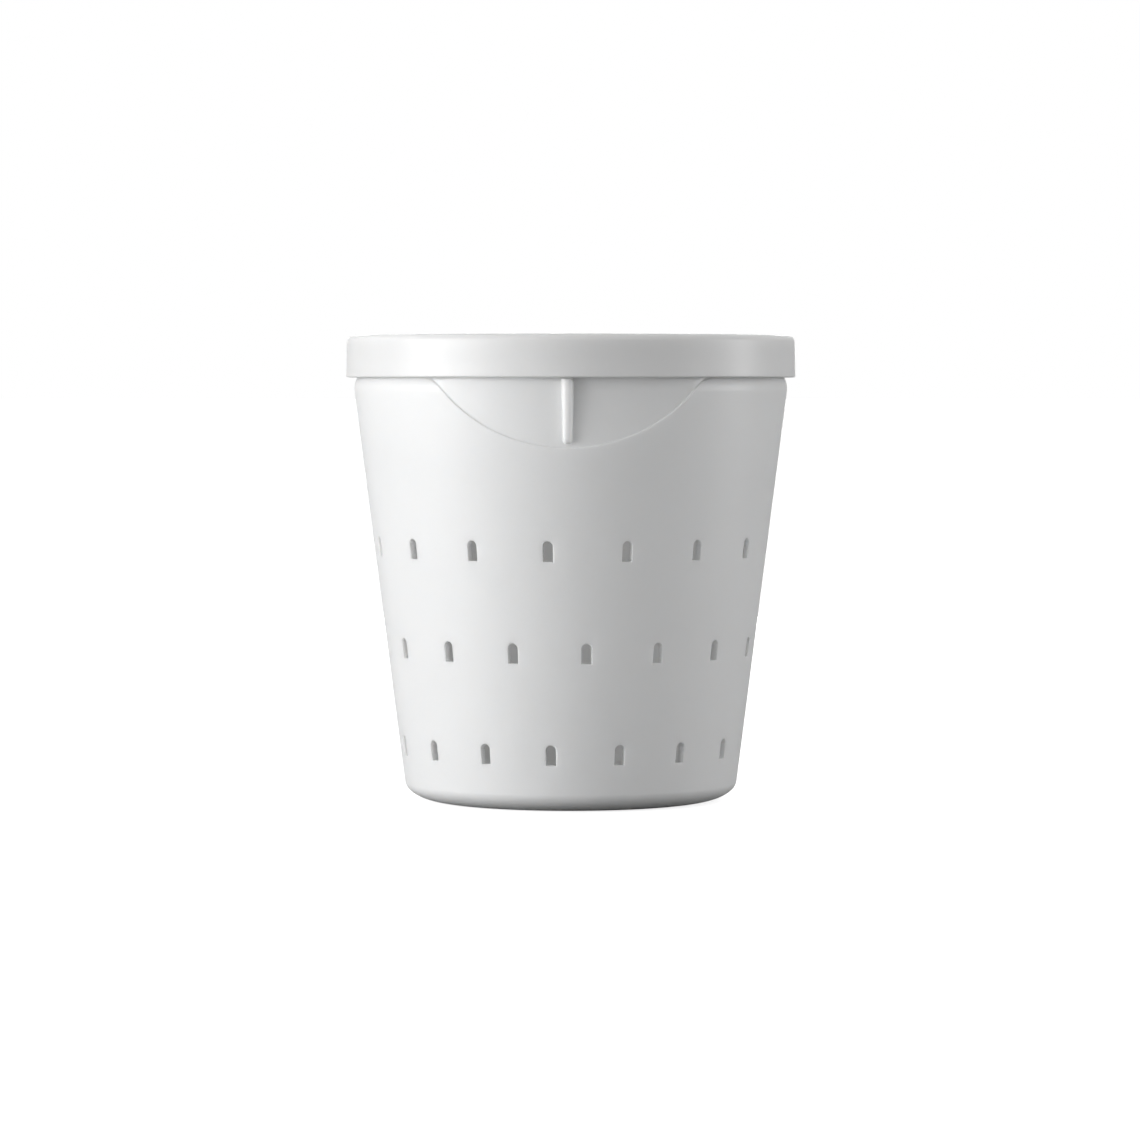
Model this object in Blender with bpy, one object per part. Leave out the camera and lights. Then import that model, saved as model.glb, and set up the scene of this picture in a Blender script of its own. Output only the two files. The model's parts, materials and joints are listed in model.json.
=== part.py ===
"""Fresh-cheese mold: a tapered strainer basket with a push-on lid.

Metres, +Z up, standing on z = 0, front on -Y. The dimensions below are in millimetres.
"""

import math

import bmesh
import bpy

MM = 0.001

# Round bodies
SEGMENTS = 96  # facets round each revolved surface
OVERSHOOT = 3.0  # how far a cutter runs past the surface that it opens

# Basket, outside (mm)
BASE_RADIUS = 40.9  # where the cone would meet the ground
TAPER = 0.128  # radius gained per mm of height
CORNER_WIDTH = 9.0  # the bottom edge is a flattened quarter round
CORNER_HEIGHT = 4.6
SHOULDER_START = 101.9
SHOULDER_ROUND = 6.0
NECK_RADIUS = 51.95
RIM_TOP = 113.7
RIM_ROUND = 0.6

# Basket, inside (mm)
WALL = 2.0
FLOOR = 2.2
BORE_RADIUS = 49.95
INNER_CORNER = 5.0

# Finger recesses: an arc cut through the shoulder down to the neck, front and back (mm)
RECESS_LOW = 88.6
RECESS_ARC = 44.5
RECESS_BLEND = 10.0  # reverse round where the arc runs out to the side
RECESS_TURN = math.radians(46.4)  # how far the arc turns before it is reversed
RECESS_COLUMN = math.radians(0.9375)
RECESS_TOP = 107.0  # just under the crease where the shoulder meets the neck

# Upright rib in the middle of each recess (mm)
RIB_ROOT_HALF = 1.5
RIB_FOOT_HALF = 1.15
RIB_TIP_HALF = 1.15
RIB_TIP_TOP = 55.0
RIB_TIP_FOOT = 53.6
RIB_FOOT = 89.6
RIB_TOP = 105.2
RIB_TOE = 1.0  # the lower end slopes by this much
RIB_SINK = 51.0

# Drain slots: three staggered rows (mm)
SLOTS_PER_ROW = 16
SLOT_WIDTH = 2.45
SLOT_HEIGHT = 4.9
SLOT_SILLS = (11.8, 36.55, 61.3)
SLOT_ARCH_STEPS = 5
SLOT_STAGGER = (-0.25, 0.25, -0.25)  # share of the spacing, about the rib

# Drain holes in the floor (mm)
HOLE_RADIUS = 1.5
HOLE_RINGS = ((8, 13.0), (16, 26.0))
HOLE_SIDES = 10

# Lid (mm)
LID_RADIUS = 56.0
LID_TOP_RADIUS = 55.85
LID_FOOT = 105.5
LID_TOP = 115.9
LID_TOP_ROUND = 1.6
LID_EDGE_ROUND = 0.4
LID_PLATE = 1.8
LID_SKIRT = 1.5
PANEL_RADIUS = 49.4  # the middle of the lid's top is sunk a little
PANEL_RAMP = 1.2
PANEL_SINK = 0.6
PLUG_OUTER = 49.6
PLUG_INNER = 48.4
PLUG_FOOT = 108.8
PLUG_TIP = 0.35


def clear_scene():
    for obj in list(bpy.data.objects):
        bpy.data.objects.remove(obj, do_unlink=True)


def cutter_collection():
    cutters = bpy.data.collections.new("cutters")
    bpy.context.scene.collection.children.link(cutters)
    cutters.hide_render = True
    return cutters


def plastic(name, color):
    material = bpy.data.materials.new(name)
    material.use_nodes = True
    shader = material.node_tree.nodes["Principled BSDF"]
    shader.inputs["Base Color"].default_value = (*color, 1.0)
    shader.inputs["Roughness"].default_value = 0.38
    shader.inputs["IOR"].default_value = 1.49
    return material


def is_flat(face):
    away = face.verts[3].co - face.verts[0].co
    return abs(away.dot(face.normal)) < 1e-4 * MM


def mesh_object(name, points, faces, collection):
    """An object from points in millimetres, its faces turned outwards."""
    mesh = bpy.data.meshes.new(name)
    mesh.from_pydata([(x * MM, y * MM, z * MM) for x, y, z in points], [], faces)
    shape = bmesh.new()
    shape.from_mesh(mesh)
    bent = [face for face in shape.faces if len(face.verts) == 4 and not is_flat(face)]
    bmesh.ops.triangulate(shape, faces=bent)
    bmesh.ops.recalc_face_normals(shape, faces=shape.faces)
    shape.to_mesh(mesh)
    shape.free()
    obj = bpy.data.objects.new(name, mesh)
    collection.objects.link(obj)
    if collection.hide_render:
        obj.hide_render = True
        obj.display_type = "WIRE"
    return obj


def lathe(name, profile, collection):
    """Revolves (radius, height) pairs about Z. The ends lie on the axis, so the body is closed."""
    points, rings, faces = [], [], []
    for radius, height in profile:
        if radius == 0:
            rings.append([len(points)] * SEGMENTS)
            points.append((0.0, 0.0, height))
            continue
        rings.append(list(range(len(points), len(points) + SEGMENTS)))
        for step in range(SEGMENTS):
            angle = 2 * math.pi * step / SEGMENTS
            points.append((radius * math.cos(angle), radius * math.sin(angle), height))
    for lower, upper in zip(rings, rings[1:]):
        for step in range(SEGMENTS):
            after = (step + 1) % SEGMENTS
            corners = [lower[step], lower[after], upper[after], upper[step]]
            face = list(dict.fromkeys(corners))
            if len(face) > 2:
                faces.append(face)
    return mesh_object(name, points, faces, collection)


def arc(center, radii, start, end, steps):
    """Points on an ellipse's arc, from one angle to the other."""
    turns = [start + (end - start) * step / steps for step in range(steps + 1)]
    return [(center[0] + radii[0] * math.cos(a), center[1] + radii[1] * math.sin(a)) for a in turns]


def cone_radius(height):
    return BASE_RADIUS + TAPER * height


def corner(center, radii, foot, steps):
    """A quarter round from the flat floor up to the cone, leaning so that it meets the cone smoothly."""
    quarter = arc((center, foot), radii, -math.pi / 2, 0.0, steps)
    return [(radius + TAPER * (height - foot), height) for radius, height in quarter]


def place(turn, across, radius, height):
    """A point at a turn from the front (-Y): across to the right, radius outwards, height up."""
    return (
        math.cos(turn) * across + math.sin(turn) * radius,
        math.sin(turn) * across - math.cos(turn) * radius,
        height,
    )


def loft(name, sections, collection):
    """A solid through sections with the same number of points, closed at its first and last."""
    count = len(sections[0])
    faces = [tuple(range(count)), tuple(range(count * (len(sections) - 1), count * len(sections)))]
    for start in range(0, count * (len(sections) - 1), count):
        for step in range(count):
            after = (step + 1) % count
            faces.append((start + step, start + after, start + count + after, start + count + step))
    return mesh_object(name, [point for section in sections for point in section], faces, collection)


def boolean(obj, other, operation):
    modifier = obj.modifiers.new(f"{operation.lower()}_{other.name}", "BOOLEAN")
    modifier.operation = operation
    modifier.solver = "EXACT"
    if isinstance(other, bpy.types.Collection):
        modifier.operand_type = "COLLECTION"
        modifier.collection = other
    else:
        modifier.object = other


def recess_edge(along):
    """Height of the recess's lower edge at a distance measured round the body from the rib."""
    along = abs(along)
    if along < RECESS_ARC * math.sin(RECESS_TURN):
        return RECESS_LOW + RECESS_ARC - math.sqrt(RECESS_ARC**2 - along**2)
    reach = RECESS_ARC + RECESS_BLEND
    top = RECESS_LOW + reach * (1 - math.cos(RECESS_TURN))
    short = max(reach * math.sin(RECESS_TURN) - along, 0.0)
    return top - RECESS_BLEND + math.sqrt(RECESS_BLEND**2 - short**2)


def recess_cutter(name, middle, collection):
    """A curved slab over the recess, from the neck's surface to outside the shoulder."""
    shoulder = cone_radius(SHOULDER_START)
    reach = (RECESS_ARC + RECESS_BLEND) * math.sin(RECESS_TURN) / shoulder
    columns = 2 * round(reach / RECESS_COLUMN)
    outer = shoulder + OVERSHOOT
    sections = []
    for step in range(columns + 1):
        turn = reach * (2 * step / columns - 1)
        low = recess_edge(turn * shoulder)
        corners = ((NECK_RADIUS, low), (outer, low), (outer, RECESS_TOP), (NECK_RADIUS, RECESS_TOP))
        sections.append([place(middle + turn, 0.0, radius, height) for radius, height in corners])
    return loft(name, sections, collection)


def rib(name, middle, collection):
    """An upright fin, wide at its root and narrow at its tip, narrower again at its sloping lower end."""
    lean = (RIB_ROOT_HALF - RIB_TIP_HALF) / (RIB_TIP_TOP - NECK_RADIUS)
    sunk = NECK_RADIUS - RIB_SINK
    sunk_foot = RIB_FOOT - RIB_TOE * sunk / (RIB_TIP_FOOT - NECK_RADIUS)
    foot_tip_half = RIB_FOOT_HALF - lean * (RIB_TIP_FOOT - NECK_RADIUS)
    ends = (
        (
            (RIB_FOOT_HALF + lean * sunk, RIB_SINK, sunk_foot),
            (foot_tip_half, RIB_TIP_FOOT, RIB_FOOT + RIB_TOE),
        ),
        ((RIB_ROOT_HALF + lean * sunk, RIB_SINK, RIB_TOP), (RIB_TIP_HALF, RIB_TIP_TOP, RIB_TOP)),
    )
    sections = []
    for (root, root_radius, root_height), (tip, tip_radius, tip_height) in ends:
        sections.append(
            [place(middle, side * root, root_radius, root_height) for side in (-1, 1)]
            + [place(middle, side * tip, tip_radius, tip_height) for side in (1, -1)]
        )
    return loft(name, sections, collection)


def slot_outline(sill):
    """An upright slot with a flat sill and a round arch, as (across, height) pairs."""
    half = SLOT_WIDTH / 2
    spring = sill + SLOT_HEIGHT - half
    arch = arc((0.0, spring), (half, half), 0.0, math.pi, SLOT_ARCH_STEPS)
    return [(half, sill)] + arch + [(-half, sill)]


def slot_cutters(collection):
    for row, (sill, stagger) in enumerate(zip(SLOT_SILLS, SLOT_STAGGER)):
        reach = (
            cone_radius(sill) - WALL - OVERSHOOT,
            cone_radius(sill + SLOT_HEIGHT) + OVERSHOOT,
        )
        for step in range(SLOTS_PER_ROW):
            turn = 2 * math.pi * (step + stagger) / SLOTS_PER_ROW
            sections = [
                [place(turn, across, radius, height) for across, height in slot_outline(sill)]
                for radius in reach
            ]
            loft(f"slot_{row}_{step}", sections, collection)


def hole_cutters(collection):
    for ring, (count, radius) in enumerate(HOLE_RINGS):
        for step in range(count):
            turn = 2 * math.pi * (step + 0.5) / count
            middle = (radius * math.cos(turn), radius * math.sin(turn))
            outline = arc(middle, (HOLE_RADIUS, HOLE_RADIUS), 0.0, 2 * math.pi, HOLE_SIDES)[:-1]
            ends = (-OVERSHOOT, FLOOR + OVERSHOOT)
            sections = [[(x, y, height) for x, y in outline] for height in ends]
            loft(f"hole_{ring}_{step}", sections, collection)


def basket_profile():
    """Up the outside from the base's middle, over the rim and down the inside to the floor's middle."""
    lean = math.atan(TAPER)
    start = cone_radius(SHOULDER_START)
    center = (
        start - SHOULDER_ROUND * math.cos(lean),
        SHOULDER_START + SHOULDER_ROUND * math.sin(lean),
    )
    crease = math.acos((NECK_RADIUS - center[0]) / SHOULDER_ROUND)
    flat = cone_radius(CORNER_HEIGHT) - CORNER_WIDTH
    edge = corner(flat, (CORNER_WIDTH, CORNER_HEIGHT), CORNER_HEIGHT, 5)
    shoulder = arc(center, (SHOULDER_ROUND, SHOULDER_ROUND), -lean, crease, 5)
    rim_center = (NECK_RADIUS - RIM_ROUND, RIM_TOP - RIM_ROUND)
    rim = arc(rim_center, (RIM_ROUND, RIM_ROUND), 0.0, math.pi / 2, 2)
    skin = WALL / math.cos(lean)
    bore_foot = (BORE_RADIUS + skin - BASE_RADIUS) / TAPER
    spring = FLOOR + INNER_CORNER
    inner_flat = cone_radius(spring) - skin - INNER_CORNER
    inner_edge = corner(inner_flat, (INNER_CORNER, INNER_CORNER), spring, 4)
    mouth = [(BORE_RADIUS, RIM_TOP - RIM_ROUND), (BORE_RADIUS + RIM_ROUND, RIM_TOP)]
    inside = [(0.0, FLOOR)] + inner_edge + [(BORE_RADIUS, bore_foot)] + mouth
    return [(0.0, 0.0)] + edge + shoulder + rim + inside[::-1]


def lid_profile():
    edge = LID_EDGE_ROUND
    inner = LID_RADIUS - LID_SKIRT
    under = LID_TOP - LID_PLATE
    sunk_top = LID_TOP - PANEL_SINK
    sunk_under = under - PANEL_SINK
    top_center = (LID_TOP_RADIUS - LID_TOP_ROUND, LID_TOP - LID_TOP_ROUND)
    top_corner = arc(top_center, (LID_TOP_ROUND, LID_TOP_ROUND), 0.0, math.pi / 2, 4)
    return (
        [(0.0, sunk_under), (PLUG_INNER - 0.5, sunk_under), (PLUG_INNER, sunk_under - 0.5)]
        + [(PLUG_INNER, PLUG_FOOT + PLUG_TIP), (PLUG_INNER + PLUG_TIP, PLUG_FOOT)]
        + [(PLUG_OUTER - PLUG_TIP, PLUG_FOOT), (PLUG_OUTER, PLUG_FOOT + PLUG_TIP), (PLUG_OUTER, under)]
        + [(inner - 0.6, under), (inner, under - 0.6), (inner, LID_FOOT + edge)]
        + [(inner + edge, LID_FOOT), (LID_RADIUS - edge, LID_FOOT), (LID_RADIUS, LID_FOOT + edge)]
        + top_corner
        + [(PANEL_RADIUS + PANEL_RAMP, LID_TOP), (PANEL_RADIUS, sunk_top), (0.0, sunk_top)]
    )


def finish(obj, material):
    obj.data.materials.append(material)
    obj.data.shade_smooth()
    obj.data.set_sharp_from_angle(angle=math.radians(35))


def main():
    clear_scene()
    scene = bpy.context.scene
    scene.unit_settings.scale_length = 1.0
    cutters = cutter_collection()
    slots = bpy.data.collections.new("slots")
    holes = bpy.data.collections.new("holes")
    for inner in (slots, holes):
        cutters.children.link(inner)
        inner.hide_render = True

    basket = lathe("basket", basket_profile(), scene.collection)
    for side, middle in (("front", 0.0), ("back", math.pi)):
        boolean(basket, recess_cutter(f"recess_{side}", middle, cutters), "DIFFERENCE")
        boolean(basket, rib(f"rib_{side}", middle, cutters), "UNION")
    slot_cutters(slots)
    hole_cutters(holes)
    boolean(basket, slots, "DIFFERENCE")
    boolean(basket, holes, "DIFFERENCE")
    finish(basket, plastic("basket_plastic", (0.80, 0.805, 0.81)))

    lid = lathe("lid", lid_profile(), scene.collection)
    finish(lid, plastic("lid_plastic", (0.82, 0.82, 0.815)))


main()
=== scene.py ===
"""Visual model of the fresh-cheese mold: a white strainer basket and its push-on lid."""

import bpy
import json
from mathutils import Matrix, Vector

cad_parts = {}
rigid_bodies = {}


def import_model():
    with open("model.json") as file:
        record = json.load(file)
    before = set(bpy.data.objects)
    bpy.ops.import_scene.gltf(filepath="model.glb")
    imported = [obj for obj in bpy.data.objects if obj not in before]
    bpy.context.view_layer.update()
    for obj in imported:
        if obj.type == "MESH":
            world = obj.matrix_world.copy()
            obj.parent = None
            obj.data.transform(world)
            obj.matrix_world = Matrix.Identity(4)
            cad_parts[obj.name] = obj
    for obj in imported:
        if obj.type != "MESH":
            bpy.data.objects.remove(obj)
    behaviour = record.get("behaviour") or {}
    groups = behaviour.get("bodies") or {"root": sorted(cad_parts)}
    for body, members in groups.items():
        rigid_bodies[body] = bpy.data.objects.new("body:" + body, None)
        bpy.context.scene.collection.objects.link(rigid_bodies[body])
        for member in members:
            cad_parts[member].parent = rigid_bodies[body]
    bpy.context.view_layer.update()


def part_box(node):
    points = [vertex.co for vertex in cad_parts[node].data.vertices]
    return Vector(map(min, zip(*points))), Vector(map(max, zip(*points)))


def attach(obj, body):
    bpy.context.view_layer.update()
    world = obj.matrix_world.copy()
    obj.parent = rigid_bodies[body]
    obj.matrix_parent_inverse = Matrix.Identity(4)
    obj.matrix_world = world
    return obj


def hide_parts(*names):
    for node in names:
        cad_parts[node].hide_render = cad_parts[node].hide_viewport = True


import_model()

import json
import math

import bpy
import numpy as np
from mathutils import Vector

MM = 0.001
basket_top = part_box("basket")[1][2]
lid_low, lid_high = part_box("lid")

# Basket, in millimetres, as in the solid model
BASE_RADIUS, TAPER = 40.9, 0.128
CORNER_WIDTH, CORNER_HEIGHT = 9.0, 4.6
SHOULDER_START, SHOULDER_ROUND = 101.9, 6.0
NECK_RADIUS, BORE_RADIUS, BORE_BEND = 51.95, 49.95, 12.0
RIM_TOP, RIM_ROUND = basket_top / MM, 0.6
WALL, FLOOR, INNER_CORNER = 2.0, 2.2, 5.0
LEAN = math.atan(TAPER)

# Finger recesses
RECESS_LOW, RECESS_ARC, RECESS_BLEND, RECESS_TURN = 88.6, 44.5, 10.0, math.radians(46.4)
RECESS_STEP, EDGE_ROUND, EDGE_RISE = 0.4, 0.3, 0.05
RUN_OUT = math.radians(3.5)  # past its end, over this turn, the recess fades into the shoulder

# Ribs
RIB_ROOT_HALF, RIB_FOOT_HALF = 1.5, 1.15
RIB_TIP_TOP, RIB_TIP_FOOT = 55.0, 53.6
RIB_FOOT, RIB_TOP, RIB_TOE, RIB_TOP_ROUND = 89.6, 105.2, 1.1, 0.3

# Slots and drain holes
SLOTS_PER_ROW, SLOT_WIDTH, SLOT_HEIGHT = 16, 2.45, 4.9
SLOT_SILLS, SLOT_STAGGER = (11.8, 36.55, 61.3), (-0.25, 0.25, -0.25)
SLOT_CHAMFER = 0.12
HOLE_RADIUS, HOLE_CHAMFER, HOLE_RINGS = 1.5, 0.2, ((8, 13.0), (16, 26.0))
CUTTER_PAST = 0.5  # how far a cutter reaches past the face where it flares

# Lid
LID_RADIUS, LID_TOP_RADIUS = lid_high[0] / MM, lid_high[0] / MM - 0.15
LID_FOOT, LID_TOP = lid_low[2] / MM, lid_high[2] / MM
LID_TOP_ROUND, LID_EDGE_ROUND, LID_PLATE, LID_SKIRT = 1.6, 0.4, 1.8, 1.5
PANEL_RADIUS, PANEL_RAMP, PANEL_SINK = 49.4, 1.2, 0.6
PLUG_OUTER, PLUG_INNER, PLUG_FOOT = 49.6, 48.4, 108.8

# Gate marks: the inner and outer radius of each ring, and its depth
BASE_GATE, LID_GATE = (2.2, 2.6, 0.25), (2.0, 2.4, 0.2)

# How finely the meshes are divided
WALL_ROWS = (30.0, 60.0, 84.0)  # heights of the rows up the plain wall
EDGE_STRIP, EDGE_ROWS = 3.35, 9  # close rows under the recess's edge
RIB_STRIP, RIB_COLUMNS, BODY_COLUMNS = 1.7, 69, 312  # close columns either side of the rib's middle
RECESS_ROWS, LID_COLUMNS = 34, 720
SHARPEST_SMOOTH = 32  # degrees between two faces that still shade as one

# Light: the floor, then the studio's walls in front of and behind the object, low and overhead
FLOOR_GLOW, FLOOR_BOUNCE = 0.8, 0.25
FRONT_LOW, FRONT_HIGH = 0.27, 0.38
BEHIND_LOW, BEHIND_HIGH = 0.35, 0.9
# The row of softboxes round the object at its own height: turn from the front in degrees, and watts
SOFTBOXES = ((-78, 3.3), (-61, 3.4), (-44, 1.9), (-20, 0.75), (70, 1.0), (95, 2.3))
SOFTBOX_DISTANCE = 0.9


def arc(center, radii, start, end, steps):
    turns = np.linspace(start, end, steps + 1)
    return [(center[0] + radii[0] * math.cos(a), center[1] + radii[1] * math.sin(a)) for a in turns]


def cone_radius(height):
    return BASE_RADIUS + TAPER * height


SHOULDER_CENTER = (
    cone_radius(SHOULDER_START) - SHOULDER_ROUND * math.cos(LEAN),
    SHOULDER_START + SHOULDER_ROUND * math.sin(LEAN),
)
CREASE = SHOULDER_CENTER[1] + math.sqrt(
    SHOULDER_ROUND**2 - (NECK_RADIUS - SHOULDER_CENTER[0]) ** 2
)


def outer_radius(height):
    """The outside without its recesses: the cone, then the shoulder's round."""
    if height < SHOULDER_START:
        return cone_radius(height)
    rise = min(height, CREASE) - SHOULDER_CENTER[1]
    return SHOULDER_CENTER[0] + math.sqrt(SHOULDER_ROUND**2 - rise**2)


def soft_clip(value, soft):
    """0 below 0, 1 above 1 and straight between, with both bends rounded."""
    if value < soft:
        return max(value + soft, 0.0) ** 2 / (4 * soft)
    if value > 1 - soft:
        return 1 - max(1 + soft - value, 0.0) ** 2 / (4 * soft)
    return value


RECESS_REACH = (RECESS_ARC + RECESS_BLEND) * math.sin(RECESS_TURN) / cone_radius(SHOULDER_START)


def recess_edge(turn):
    """The height of the recess's lower edge: an arc, which bends out level at its two ends."""
    along = min(abs(turn), RECESS_REACH) * cone_radius(SHOULDER_START)
    if along < RECESS_ARC * math.sin(RECESS_TURN):
        return RECESS_LOW + RECESS_ARC - math.sqrt(RECESS_ARC**2 - along**2)
    reach = RECESS_ARC + RECESS_BLEND
    top = RECESS_LOW + reach * (1 - math.cos(RECESS_TURN))
    short = max(reach * math.sin(RECESS_TURN) - along, 0.0)
    return top - RECESS_BLEND + math.sqrt(RECESS_BLEND**2 - short**2)


def quarter_round(share):
    """0 at 0, rising steeply and levelling off at 1."""
    return math.sqrt(1 - (1 - min(max(share, 0.0), 1.0)) ** 2)


def rib_height(turn, height):
    """How far the rib stands out of the recess's floor: round across, with a rounded foot."""
    if height >= RIB_TOP:
        return 0.0
    share = (height - RIB_FOOT) / (RIB_TOP - RIB_FOOT)
    end = quarter_round((height - RIB_FOOT) / RIB_TOE)
    half = (RIB_FOOT_HALF + (RIB_ROOT_HALF - RIB_FOOT_HALF) * share) * max(end, 0.01)
    across = min(abs(turn) * NECK_RADIUS / half, 1.0)
    proud = RIB_TIP_FOOT + (RIB_TIP_TOP - RIB_TIP_FOOT) * share - NECK_RADIUS
    crown = 0.9 + 0.1 * quarter_round((RIB_TOP - height) / RIB_TOP_ROUND)
    return proud * end * crown * (1 - across**3) ** 0.4


def floor_radius(turn, height):
    """The recess's floor, upright and just under the outside at its edge, fading out at its ends."""
    outer = outer_radius(height)
    floor = min(outer_radius(recess_edge(turn)) - RECESS_STEP, outer)
    fade = soft_clip((abs(turn) - RECESS_REACH) / RUN_OUT, 0.4)
    return floor + (outer - floor) * fade + rib_height(turn, height)


def floor_shares():
    """Where the recess floor's rows lie from its foot to the crease, close at the rib's two ends."""
    foot = RECESS_LOW + EDGE_RISE + EDGE_ROUND
    reach = RIB_TOP - RIB_TOP_ROUND - foot
    heights = [
        foot + reach * (step / RECESS_ROWS) ** 1.5 for step in range(1, RECESS_ROWS + 1)
    ]
    heights += [RIB_TOP - 0.15, RIB_TOP - 0.05, RIB_TOP + 0.01]
    heights += [RIB_TOP + (CREASE - RIB_TOP) * step / 5 for step in range(1, 6)]
    return [(height - foot) / (CREASE - foot) for height in heights]


FLOOR_SHARES = floor_shares()


def outside(turn):
    """(radius, height) pairs up the outside at a turn from the middle of the nearest recess."""
    inner, outer, depth = BASE_GATE
    path = [(inner, 0.0), (inner, depth), (outer, depth), (outer, 0.0), (12.0, 0.0), (22.0, 0.0)]
    flat = cone_radius(CORNER_HEIGHT) - CORNER_WIDTH
    corner = arc((flat, CORNER_HEIGHT), (CORNER_WIDTH, CORNER_HEIGHT), -math.pi / 2, 0.0, 14)
    path += [(radius + TAPER * (height - CORNER_HEIGHT), height) for radius, height in corner]
    edge = recess_edge(turn)
    inset = min(EDGE_ROUND, 0.45 * max(outer_radius(edge) - floor_radius(turn, edge), 0.0))
    heights = list(WALL_ROWS)
    heights += [
        edge - EDGE_ROUND - EDGE_STRIP * (1 - step / (EDGE_ROWS - 1)) for step in range(EDGE_ROWS)
    ]
    path += [(outer_radius(height), height) for height in heights]
    for step in range(1, 6):
        bend = step / 5 * math.pi / 2
        height = edge - EDGE_ROUND * (1 - math.sin(bend))
        path.append((outer_radius(height) - inset * (1 - math.cos(bend)), height))
    start = edge + EDGE_RISE
    for step in range(6):
        bend = step / 5 * math.pi / 2
        height = start + EDGE_ROUND * (1 - math.cos(bend))
        path.append((floor_radius(turn, height) + inset * (1 - math.sin(bend)), height))
    start += EDGE_ROUND
    for share in FLOOR_SHARES:
        height = start + (CREASE - start) * share
        path.append((floor_radius(turn, height), height))
    return path


def rim_and_inside():
    """(radius, height) pairs over the rim and down the inside."""
    skin = WALL / math.cos(LEAN)
    bore_foot = (BORE_RADIUS + skin - BASE_RADIUS) / TAPER
    spring = FLOOR + INNER_CORNER
    rim_round, rim_spring = (RIM_ROUND,) * 2, RIM_TOP - RIM_ROUND
    path = arc((NECK_RADIUS - RIM_ROUND, rim_spring), rim_round, 0.0, math.pi / 2, 5)
    path += arc((BORE_RADIUS + RIM_ROUND, rim_spring), rim_round, math.pi / 2, math.pi, 5)
    bend_height = bore_foot + BORE_BEND * math.tan(LEAN / 2)
    path += arc((BORE_RADIUS - BORE_BEND, bend_height), (BORE_BEND,) * 2, 0.0, -LEAN, 4)
    middle = (cone_radius(spring) - skin - INNER_CORNER, spring)
    corner = arc(middle, (INNER_CORNER,) * 2, 0.0, -math.pi / 2, 12)
    path += [(radius + TAPER * (height - spring), height) for radius, height in corner]
    return path + [(22.0, FLOOR), (6.0, FLOOR)]


def mesh_from_rows(name, rows, turns):
    """A closed skin from rows of points round Z. rows[i][j] is (radius, height) at turns[j]."""
    rows = np.array(rows) * MM
    count = len(turns)
    points = np.stack(
        [rows[..., 0] * np.sin(turns), -rows[..., 0] * np.cos(turns), rows[..., 1]], axis=-1
    ).reshape(-1, 3)
    lower = np.arange(len(rows) - 1)[:, None] * count + np.arange(count)
    after = np.arange(len(rows) - 1)[:, None] * count + (np.arange(count) + 1) % count
    faces = np.stack([lower, after, after + count, lower + count], axis=-1).reshape(-1, 4).tolist()
    last = (len(rows) - 1) * count
    faces += [list(range(count))[::-1], list(range(last, last + count))]
    mesh = bpy.data.meshes.new(name)
    mesh.from_pydata(points.tolist(), [], faces)
    obj = bpy.data.objects.new(name, mesh)
    bpy.context.scene.collection.objects.link(obj)
    return obj


def place(turn, across, radius, height):
    """A point in metres at a turn from the front (-Y): across to the right, radius outwards."""
    return (
        (math.cos(turn) * across + math.sin(turn) * radius) * MM,
        (math.sin(turn) * across - math.cos(turn) * radius) * MM,
        height * MM,
    )


def loft(name, sections, collection):
    """A closed solid through sections with the same number of points."""
    count = len(sections[0])
    last = count * (len(sections) - 1)
    faces = [tuple(range(count))[::-1], tuple(range(last, last + count))]
    for start in range(0, last, count):
        for step in range(count):
            after = (step + 1) % count
            faces.append((start + step, start + after, start + count + after, start + count + step))
    mesh = bpy.data.meshes.new(name)
    mesh.from_pydata([point for section in sections for point in section], [], faces)
    collection.objects.link(bpy.data.objects.new(name, mesh))


def slot_outline(sill, grow):
    """(across, height) pairs round a slot: a level sill under a round arch."""
    half = SLOT_WIDTH / 2
    spring = sill + SLOT_HEIGHT - half
    arch = arc((0.0, spring), (half + grow,) * 2, 0.0, math.pi, 12)
    return [(half + grow, sill - grow)] + arch + [(-half - grow, sill - grow)]


def cutters():
    """Cutters of the slots and drain holes, flared where they leave the wall, to ease the edge."""
    group = bpy.data.collections.new("cutters")
    slot_steps = (
        (-WALL - 2.0, 0.0),
        (-SLOT_CHAMFER, 0.0),
        (CUTTER_PAST, SLOT_CHAMFER + CUTTER_PAST),
    )
    for row, (sill, stagger) in enumerate(zip(SLOT_SILLS, SLOT_STAGGER)):
        for step in range(SLOTS_PER_ROW):
            turn = 2 * math.pi * (step + stagger) / SLOTS_PER_ROW
            sections = [
                [
                    place(turn, across, cone_radius(height) + out, height)
                    for across, height in slot_outline(sill, grow)
                ]
                for out, grow in slot_steps
            ]
            loft(f"slot_{row}_{step}", sections, group)
    hole_steps = (
        (-CUTTER_PAST, CUTTER_PAST + HOLE_CHAMFER),
        (HOLE_CHAMFER, 0.0),
        (FLOOR - HOLE_CHAMFER, 0.0),
        (FLOOR + CUTTER_PAST, CUTTER_PAST + HOLE_CHAMFER),
    )
    for ring, (count, radius) in enumerate(HOLE_RINGS):
        for step in range(count):
            turn = 2 * math.pi * (step + 0.5) / count
            middle = (radius * math.cos(turn), radius * math.sin(turn))
            sections = []
            for height, grow in hole_steps:
                outline = arc(middle, (HOLE_RADIUS + grow,) * 2, 0.0, 2 * math.pi, 24)[:-1]
                sections.append([(x * MM, y * MM, height * MM) for x, y in outline])
            loft(f"hole_{ring}_{step}", sections, group)
    return group


def apply_modifiers(obj):
    graph = bpy.context.evaluated_depsgraph_get()
    mesh = bpy.data.meshes.new_from_object(obj.evaluated_get(graph), depsgraph=graph)
    obj.modifiers.clear()
    obj.data = mesh


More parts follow.
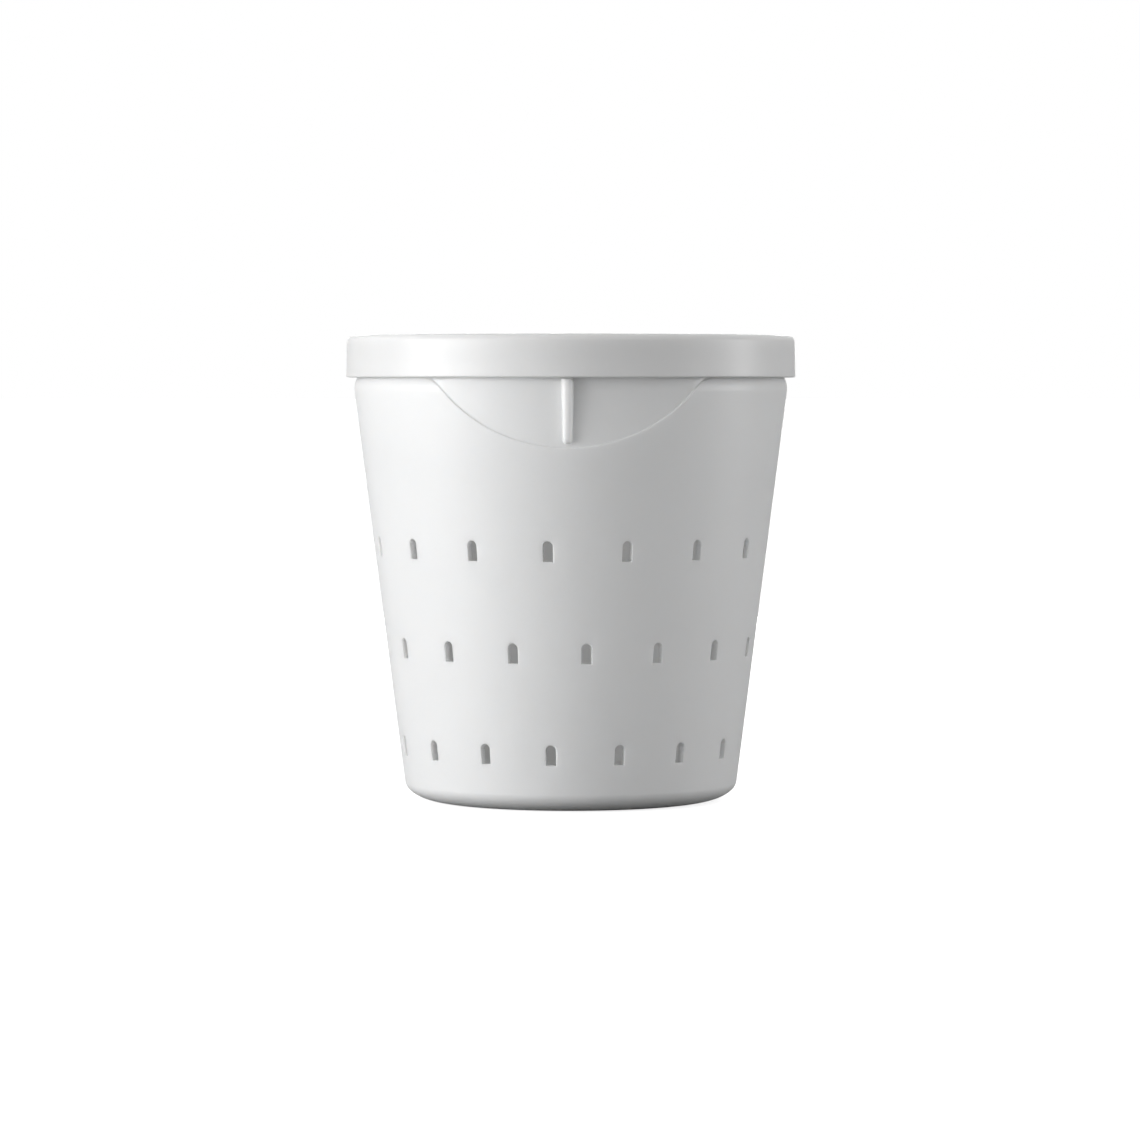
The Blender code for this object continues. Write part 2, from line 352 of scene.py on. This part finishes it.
def smooth(obj):
    obj.data.shade_smooth()
    obj.data.set_sharp_from_angle(angle=math.radians(SHARPEST_SMOOTH))
    weighted = obj.modifiers.new("weighted_normals", "WEIGHTED_NORMAL")
    weighted.keep_sharp = True
    weighted.weight = 80


def column_turns():
    """Turns of the columns: even round the body, and close together across each rib."""
    rib_half = RIB_STRIP / NECK_RADIUS
    near = np.linspace(-rib_half, rib_half, RIB_COLUMNS)
    far = np.linspace(rib_half, math.pi - rib_half, BODY_COLUMNS)[1:-1]
    return np.concatenate([near, far, near + math.pi, far + math.pi])


def make_basket():
    turns = column_turns()
    nearest = (turns + math.pi / 2) % math.pi - math.pi / 2
    inside = rim_and_inside()
    columns = [outside(turn) + inside for turn in nearest]
    rows = [[column[row] for column in columns] for row in range(len(columns[0]))]
    basket = mesh_from_rows("basket_shell", rows, turns)
    cut = basket.modifiers.new("drain_openings", "BOOLEAN")
    cut.operation, cut.solver, cut.operand_type = "DIFFERENCE", "EXACT", "COLLECTION"
    cut.collection = group = cutters()
    apply_modifiers(basket)
    for obj in list(group.objects):
        bpy.data.objects.remove(obj, do_unlink=True)
    bpy.data.collections.remove(group)
    smooth(basket)
    return basket


def lid_path():
    """(radius, height) pairs from the middle of the lid's underside round to the middle on top."""
    under = LID_TOP - LID_PLATE
    ceiling, panel = under - PANEL_SINK, LID_TOP - PANEL_SINK
    skirt_inner, edge = LID_RADIUS - LID_SKIRT, LID_EDGE_ROUND
    gate_inner, gate_outer, gate_depth = LID_GATE
    tip = (PLUG_OUTER - PLUG_INNER) / 2
    top_middle = (LID_TOP_RADIUS - LID_TOP_ROUND, LID_TOP - LID_TOP_ROUND)
    ramp = [
        (
            PANEL_RADIUS + PANEL_RAMP * (1 - share),
            LID_TOP - PANEL_SINK * (3 * share**2 - 2 * share**3),
        )
        for share in np.linspace(0.0, 1.0, 9)
    ]
    return (
        [(gate_inner, ceiling), (gate_inner, ceiling - gate_depth)]
        + [(gate_outer, ceiling - gate_depth), (gate_outer, ceiling)]
        + [(20.0, ceiling), (40.0, ceiling)]
        + arc((PLUG_INNER - 0.5, ceiling - 0.5), (0.5, 0.5), math.pi / 2, 0.0, 4)
        + arc((PLUG_INNER + tip, PLUG_FOOT + tip), (tip, tip), math.pi, 2 * math.pi, 8)
        + arc((PLUG_OUTER + 0.3, under - 0.3), (0.3, 0.3), math.pi, math.pi / 2, 4)
        + arc((skirt_inner - 0.6, under - 0.6), (0.6, 0.6), math.pi / 2, 0.0, 4)
        + arc((skirt_inner + edge, LID_FOOT + edge), (edge, edge), math.pi, 1.5 * math.pi, 5)
        + arc((LID_RADIUS - edge, LID_FOOT + edge), (edge, edge), -math.pi / 2, 0.0, 5)
        + arc(top_middle, (LID_TOP_ROUND,) * 2, 0.0, math.pi / 2, 12)
        + ramp
        + [(40.0, panel), (20.0, panel), (4.0, panel)]
    )


def make_lid():
    turns = np.linspace(0.0, 2 * math.pi, LID_COLUMNS + 1)[:-1]
    rows = [[point] * len(turns) for point in lid_path()]
    lid = mesh_from_rows("lid_cap", rows, turns)
    smooth(lid)
    return lid


def moulded_plastic(name, color, shade, roughness, translucency):
    """Satin moulded polypropylene: cloudy tone, uneven sheen and a fine pebbled skin."""
    material = bpy.data.materials.new(name)
    material.use_nodes = True
    nodes, links = material.node_tree.nodes, material.node_tree.links
    shader = nodes["Principled BSDF"]
    shader.inputs["IOR"].default_value = 1.49
    shader.inputs["Subsurface Weight"].default_value = translucency
    shader.inputs["Subsurface Radius"].default_value = (1.0, 0.97, 0.94)
    shader.inputs["Subsurface Scale"].default_value = 0.003
    where = nodes.new("ShaderNodeTexCoord")

    def noise(scale, detail):
        texture = nodes.new("ShaderNodeTexNoise")
        texture.inputs["Scale"].default_value = scale
        texture.inputs["Detail"].default_value = detail
        links.new(where.outputs["Object"], texture.inputs["Vector"])
        return texture.outputs["Fac"]

    def bump(height, strength, distance):
        node = nodes.new("ShaderNodeBump")
        node.inputs["Strength"].default_value = strength
        node.inputs["Distance"].default_value = distance
        links.new(height, node.inputs["Height"])
        return node

    cloudy = nodes.new("ShaderNodeValToRGB")
    dark, light = cloudy.color_ramp.elements
    dark.position, light.position = 0.3, 0.7
    dark.color, light.color = (*shade, 1.0), (*color, 1.0)
    links.new(noise(38.0, 3.0), cloudy.inputs["Fac"])
    links.new(cloudy.outputs["Color"], shader.inputs["Base Color"])
    sheen = nodes.new("ShaderNodeMapRange")
    sheen.inputs["To Min"].default_value = roughness - 0.05
    sheen.inputs["To Max"].default_value = roughness + 0.05
    links.new(noise(260.0, 4.0), sheen.inputs["Value"])
    links.new(sheen.outputs["Result"], shader.inputs["Roughness"])
    pebbles = bump(noise(2600.0, 2.0), 0.35, 0.00003)
    waves = bump(noise(90.0, 1.0), 0.25, 0.0001)
    links.new(waves.outputs["Normal"], pebbles.inputs["Normal"])
    links.new(pebbles.outputs["Normal"], shader.inputs["Normal"])
    return material


def pale_floor():
    """White paper, which throws little light back at the object, as if shaded from below."""
    bpy.ops.mesh.primitive_circle_add(
        vertices=96, radius=30.0, fill_type="NGON", location=(0, 0, 0)
    )
    floor = bpy.context.object
    floor.name = "floor"
    material = bpy.data.materials.new("floor_paper")
    material.use_nodes = True
    nodes, links = material.node_tree.nodes, material.node_tree.links
    paper = nodes["Principled BSDF"]
    paper.inputs["Base Color"].default_value = (0.8, 0.8, 0.8, 1.0)
    paper.inputs["Roughness"].default_value = 0.9
    paper.inputs["Specular IOR Level"].default_value = 0.0
    paper.inputs["Emission Color"].default_value = (1.0, 1.0, 1.0, 1.0)
    paper.inputs["Emission Strength"].default_value = FLOOR_GLOW
    dim = nodes.new("ShaderNodeBsdfDiffuse")
    dim.inputs["Color"].default_value = (FLOOR_BOUNCE,) * 3 + (1.0,)
    path, mix = nodes.new("ShaderNodeLightPath"), nodes.new("ShaderNodeMixShader")
    links.new(path.outputs["Is Camera Ray"], mix.inputs["Fac"])
    links.new(dim.outputs["BSDF"], mix.inputs[1])
    links.new(paper.outputs["BSDF"], mix.inputs[2])
    links.new(mix.outputs["Shader"], nodes["Material Output"].inputs["Surface"])
    floor.data.materials.append(material)


def softbox(name, turn, elevation, size, power):
    """An area light aimed at the object's middle, turn degrees to the right of the front."""
    light = bpy.data.lights.new(name, "AREA")
    light.shape, light.size, light.size_y = "RECTANGLE", size[0], size[1]
    light.energy = power
    obj = bpy.data.objects.new(name, light)
    bpy.context.scene.collection.objects.link(obj)
    middle = Vector((0.0, 0.0, 0.06))
    turn, elevation = math.radians(turn), math.radians(elevation)
    away = Vector(
        (
            math.sin(turn) * math.cos(elevation),
            -math.cos(turn) * math.cos(elevation),
            math.sin(elevation),
        )
    )
    obj.location = middle + away * SOFTBOX_DISTANCE
    obj.rotation_euler = (-away).to_track_quat("-Z", "Y").to_euler()
    obj.visible_camera = False


def studio_walls():
    """The world: white to the camera, and to the object grey walls that lighten overhead."""
    world = bpy.data.worlds.new("studio")
    bpy.context.scene.world = world
    world.use_nodes = True
    nodes, links = world.node_tree.nodes, world.node_tree.links
    ambient = nodes["Background"]
    ambient.inputs["Strength"].default_value = 1.0
    where, axes = nodes.new("ShaderNodeTexCoord"), nodes.new("ShaderNodeSeparateXYZ")
    links.new(where.outputs["Generated"], axes.inputs["Vector"])

    def ramp(axis, ends, tones):
        spread, band = nodes.new("ShaderNodeMapRange"), nodes.new("ShaderNodeValToRGB")
        spread.inputs["From Min"].default_value, spread.inputs["From Max"].default_value = ends
        for element, position, tone in zip(band.color_ramp.elements, (0.0, 1.0), tones):
            element.position, element.color = position, (tone, tone, tone, 1.0)
        links.new(axes.outputs[axis], spread.inputs["Value"])
        links.new(spread.outputs["Result"], band.inputs["Fac"])
        return band.outputs["Color"]

    walls = nodes.new("ShaderNodeMixRGB")
    links.new(ramp("Z", (0.2, 0.6), (0.0, 1.0)), walls.inputs["Fac"])
    links.new(ramp("Y", (-0.3, 0.5), (FRONT_LOW, BEHIND_LOW)), walls.inputs["Color1"])
    links.new(ramp("Y", (-0.3, 0.5), (FRONT_HIGH, BEHIND_HIGH)), walls.inputs["Color2"])
    links.new(walls.outputs["Color"], ambient.inputs["Color"])
    seen = nodes.new("ShaderNodeBackground")
    seen.inputs["Color"].default_value = (1.0, 1.0, 1.0, 1.0)
    path, mix = nodes.new("ShaderNodeLightPath"), nodes.new("ShaderNodeMixShader")
    links.new(path.outputs["Is Camera Ray"], mix.inputs["Fac"])
    links.new(ambient.outputs["Background"], mix.inputs[1])
    links.new(seen.outputs["Background"], mix.inputs[2])
    links.new(mix.outputs["Shader"], nodes["World Output"].inputs["Surface"])


def lighting():
    studio_walls()
    for turn, power in SOFTBOXES:
        softbox(f"softbox_{turn}", turn, 2.0, (0.3, 0.4), power)
    softbox("softbox_behind", 180, 5.0, (0.4, 0.5), 3.0)
    # Stands in for the light that comes into the basket through its walls
    glow = bpy.data.lights.new("light_through_walls", "POINT")
    glow.energy, glow.shadow_soft_size = 0.007, 0.015
    lamp = bpy.data.objects.new("light_through_walls", glow)
    lamp.location = (0.0, 0.0, 0.055)
    lamp.visible_camera = lamp.visible_glossy = False
    bpy.context.scene.collection.objects.link(lamp)


def camera():
    data = bpy.data.cameras.new("camera")
    obj = bpy.data.objects.new("camera", data)
    bpy.context.scene.collection.objects.link(obj)
    bpy.context.scene.camera = obj
    turn, distance, height = math.radians(0.85), 1.15, 0.1039
    aim = Vector((-0.0002, 0.0, 0.0574))
    obj.location = (distance * math.sin(turn), -distance * math.cos(turn), height)
    obj.rotation_euler = (aim - obj.location).to_track_quat("-Z", "Y").to_euler()
    data.sensor_width = 36.0
    data.lens = 145.3
    data.clip_start, data.clip_end = 0.05, 100.0


bpy.context.scene.view_settings.view_transform = "Standard"
bpy.context.scene.view_settings.look = "None"
camera()
lighting()
pale_floor()

basket = make_basket()
basket.data.materials.clear()
basket.data.materials.append(
    moulded_plastic("basket_polypropylene", (0.86, 0.865, 0.865), (0.845, 0.85, 0.85), 0.40, 0.9)
)
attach(basket, "basket")
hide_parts("basket")

lid = make_lid()
lid.data.materials.append(
    moulded_plastic("lid_polypropylene", (0.84, 0.84, 0.835), (0.825, 0.825, 0.82), 0.38, 0.8)
)
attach(lid, "lid")
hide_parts("lid")
